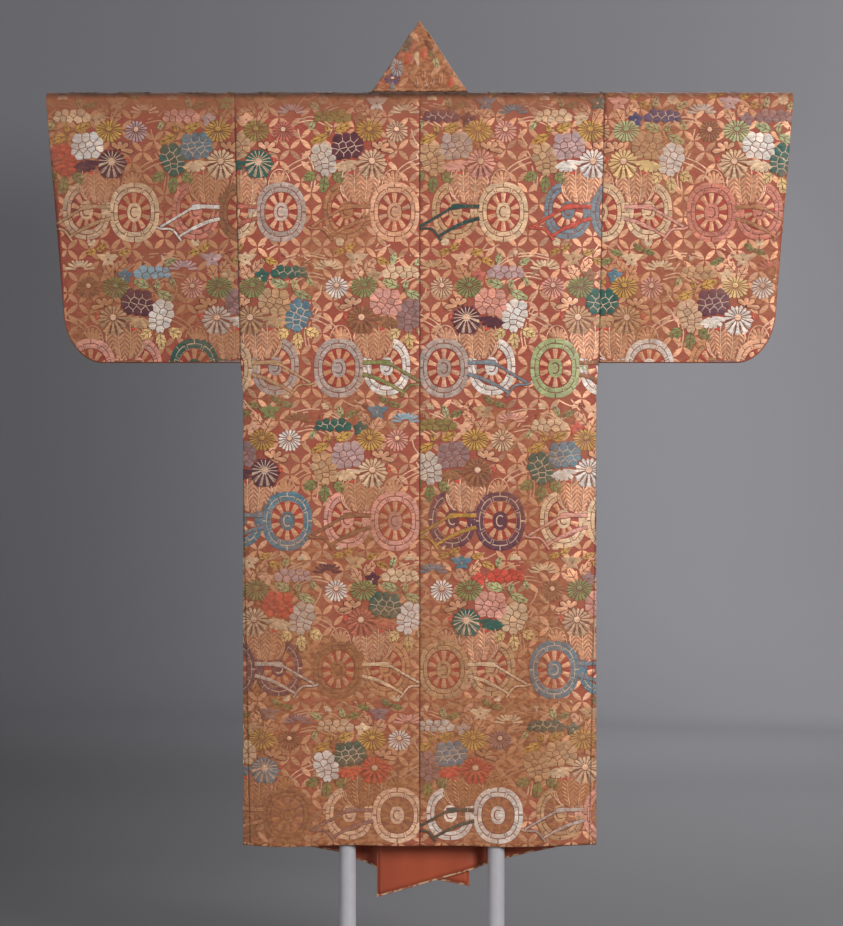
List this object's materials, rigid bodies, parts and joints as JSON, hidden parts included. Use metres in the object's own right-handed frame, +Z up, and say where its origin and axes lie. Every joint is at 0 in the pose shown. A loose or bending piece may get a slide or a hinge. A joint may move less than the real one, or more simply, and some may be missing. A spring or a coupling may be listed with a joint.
{
  "type": "noh costume on a display stand",
  "caption": "Wide-sleeved brocade noh robe hanging flat, back view, on a two-post stand with a padded crossbar.",
  "frame": {"origin": "centre of the base on the floor, under the robe's centre back seam", "axes": "+Z up, -Y out of the robe's back, -X towards the wearer's left"},
  "size_m": [1.426, 0.42, 1.8115],
  "materials": {
    "brocade": "silk and gold thread brocade",
    "lining": "plain silk",
    "stand_paint": "satin light grey paint",
    "bar_padding": "plain cotton over padding"
  },
  "bodies": {
    "root": {"body_left": "brocade", "body_right": "brocade", "overlap_left": "brocade", "overlap_right": "brocade", "sleeve_left": "brocade", "sleeve_right": "brocade", "collar": "brocade", "lining_left": "lining", "lining_right": "lining", "stand_post_left": "stand_paint", "stand_post_right": "stand_paint", "stand_base": "stand_paint", "stand_bar": "bar_padding"}
  },
  "joints": []
}
